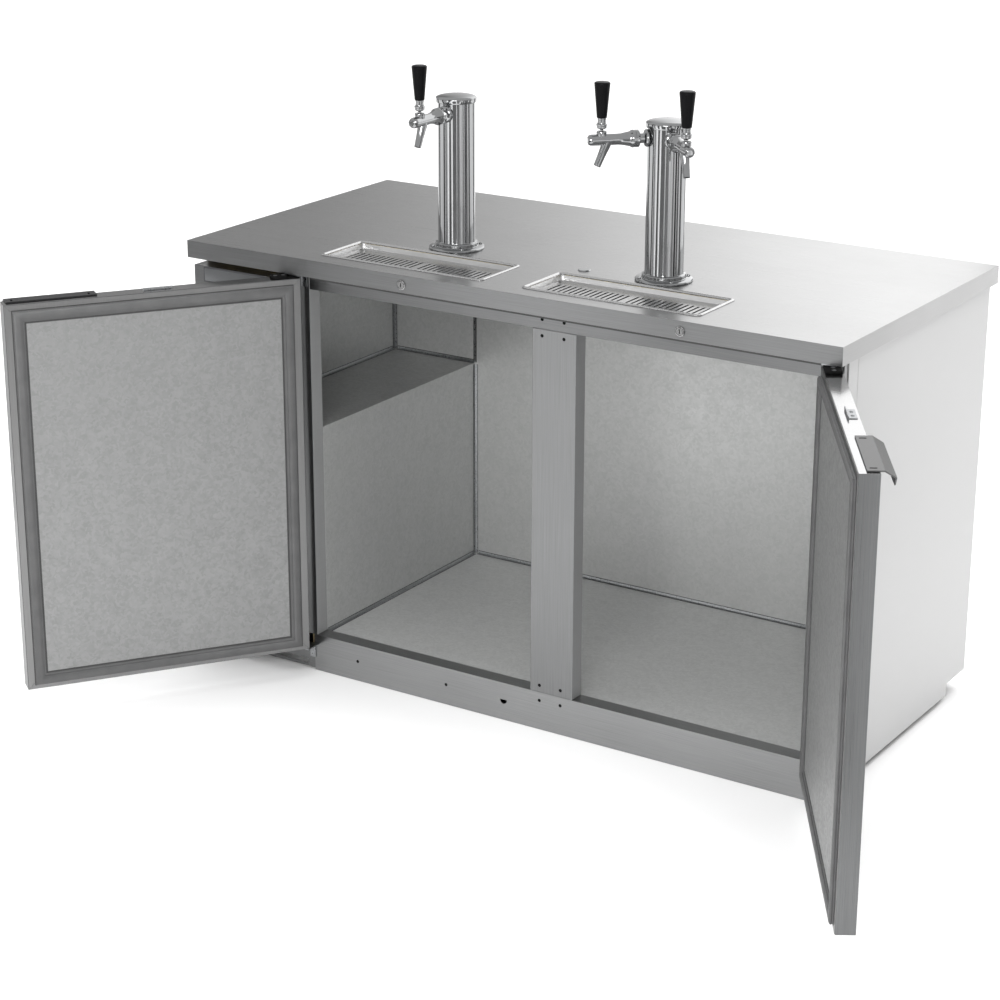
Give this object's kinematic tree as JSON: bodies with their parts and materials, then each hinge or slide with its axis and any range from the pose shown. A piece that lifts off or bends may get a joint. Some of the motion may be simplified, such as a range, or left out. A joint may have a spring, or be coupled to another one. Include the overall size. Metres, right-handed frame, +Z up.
{
  "type": "direct-draw keg cooler",
  "caption": "Free-standing stainless keg cooler with two swing doors, a compressor bay, recessed drip trays and chrome draught columns with black-handled taps.",
  "frame": {"origin": "on the floor under the middle of the worktop, on the underside of the middle base runner", "axes": "+X to the right along the worktop, +Y from the doors towards the back, +Z up"},
  "size_m": [1.9265, 1.2256, 1.3131],
  "materials": {
    "worktop_steel": "satin",
    "panel_steel": "satin",
    "frame_steel": "satin",
    "tray_steel": "satin",
    "galvanised": "matte",
    "chrome": "polished",
    "black_plastic": "satin",
    "hinge_black": "satin",
    "pull_dark": "satin",
    "gasket": "matte",
    "foam": "matte",
    "painted_black": "satin",
    "name_plate": "satin",
    "compressor_paint": "gloss",
    "aluminium": "satin"
  },
  "bodies": {
    "cabinet": {"worktop": "worktop_steel", "worktop_plug": "chrome", "side_panel_left": "panel_steel", "side_panel_right": "panel_steel", "rear_panel": "panel_steel", "base_frame": "painted_black", "insulation": "foam", "liner_floor_right": "galvanised", "liner_back_ceiling": "galvanised", "liner_left_shelf": "galvanised", "header": "frame_steel", "bottom_rail": "frame_steel", "jamb_left": "frame_steel", "jamb_right": "frame_steel", "mullion": "frame_steel", "kick_panel": "frame_steel", "grille_panel": "frame_steel", "name_plate": "name_plate", "compressor": "compressor_paint", "condenser_coil": "aluminium", "fan_shroud": "painted_black", "evaporator_housing": "aluminium", "drip_tray_left": "tray_steel", "drip_tray_right": "tray_steel", "tower_column_left": "chrome", "tower_cap_left": "chrome", "faucet_1": "chrome", "tower_column_right": "chrome", "tower_cap_right": "chrome", "faucet_2": "chrome", "faucet_3": "chrome", "hinge_top_left": "frame_steel", "hinge_bottom_left": "frame_steel", "hinge_top_right": "frame_steel", "hinge_bottom_right": "frame_steel"},
    "condenser_fan_rotor": {"condenser_fan": "black_plastic"},
    "evaporator_fan_rotor": {"evaporator_fan": "black_plastic"},
    "thermostat": {"thermostat_knob": "black_plastic"},
    "grid_left": {"drip_grid_left": "tray_steel"},
    "grid_right": {"drip_grid_right": "tray_steel"},
    "tap_1": {"tap_lever_1": "chrome", "tap_handle_1": "black_plastic"},
    "tap_2": {"tap_lever_2": "chrome", "tap_handle_2": "black_plastic"},
    "tap_3": {"tap_lever_3": "chrome", "tap_handle_3": "black_plastic"},
    "lock_left": {"door_lock_left": "chrome"},
    "lock_right": {"door_lock_right": "chrome"},
    "door_left": {"door_shell_left": "frame_steel", "door_liner_left": "galvanised", "door_gasket_left": "gasket", "door_pull_left": "pull_dark", "door_strike_left": "frame_steel", "hinge_plate_left": "hinge_black"},
    "door_right": {"door_shell_right": "frame_steel", "door_liner_right": "galvanised", "door_gasket_right": "gasket", "door_pull_right": "frame_steel", "door_strike_right": "frame_steel", "hinge_plate_right": "hinge_black"}
  },
  "joints": [
    {"name": "door_left_hinge", "type": "hinge", "parent": "cabinet", "child": "door_left", "pos_m": [-0.4804, -0.3443, 0.47], "axis": [0, 0, 1], "range_deg": [-14, 125.55]},
    {"name": "door_right_hinge", "type": "hinge", "parent": "cabinet", "child": "door_right", "pos_m": [0.7227, -0.3443, 0.47], "axis": [0, 0, 1], "range_deg": [-121.33, 25]},
    {"name": "tap_1_pull", "type": "hinge", "parent": "cabinet", "child": "tap_1", "pos_m": [-0.243, -0.238, 1.2065], "axis": [1, 0, 0], "range_deg": [0, 22]},
    {"name": "tap_2_pull", "type": "hinge", "parent": "cabinet", "child": "tap_2", "pos_m": [0.15308, -0.20192, 1.2065], "axis": [0.7071, -0.7071, 0], "range_deg": [0, 22]},
    {"name": "tap_3_pull", "type": "hinge", "parent": "cabinet", "child": "tap_3", "pos_m": [0.33692, -0.20192, 1.2065], "axis": [0.7071, 0.7071, 0], "range_deg": [0, 22]},
    {"name": "lock_left_turn", "type": "hinge", "parent": "cabinet", "child": "lock_left", "pos_m": [-0.2065, -0.355, 0.9005], "axis": [0, 1, 0], "range_deg": [0, 90]},
    {"name": "lock_right_turn", "type": "hinge", "parent": "cabinet", "child": "lock_right", "pos_m": [0.42, -0.355, 0.9005], "axis": [0, 1, 0], "range_deg": [0, 90]},
    {"name": "grid_left_lift", "type": "slide", "parent": "cabinet", "child": "grid_left", "axis": [0, 0, 1], "range_m": [0, 0.08]},
    {"name": "grid_right_lift", "type": "slide", "parent": "cabinet", "child": "grid_right", "axis": [0, 0, 1], "range_m": [0, 0.08]},
    {"name": "condenser_fan_spin", "type": "hinge", "parent": "cabinet", "child": "condenser_fan_rotor", "pos_m": [-0.622, -0.213, 0.22], "axis": [0, 1, 0], "continuous": true},
    {"name": "evaporator_fan_spin", "type": "hinge", "parent": "cabinet", "child": "evaporator_fan_rotor", "pos_m": [0.33, 0.122, 0.8], "axis": [0, 1, 0], "continuous": true},
    {"name": "thermostat_turn", "type": "hinge", "parent": "cabinet", "child": "thermostat", "pos_m": [0.13, 0.105, 0.8], "axis": [0, -1, 0], "range_deg": [0, 270]}
  ]
}
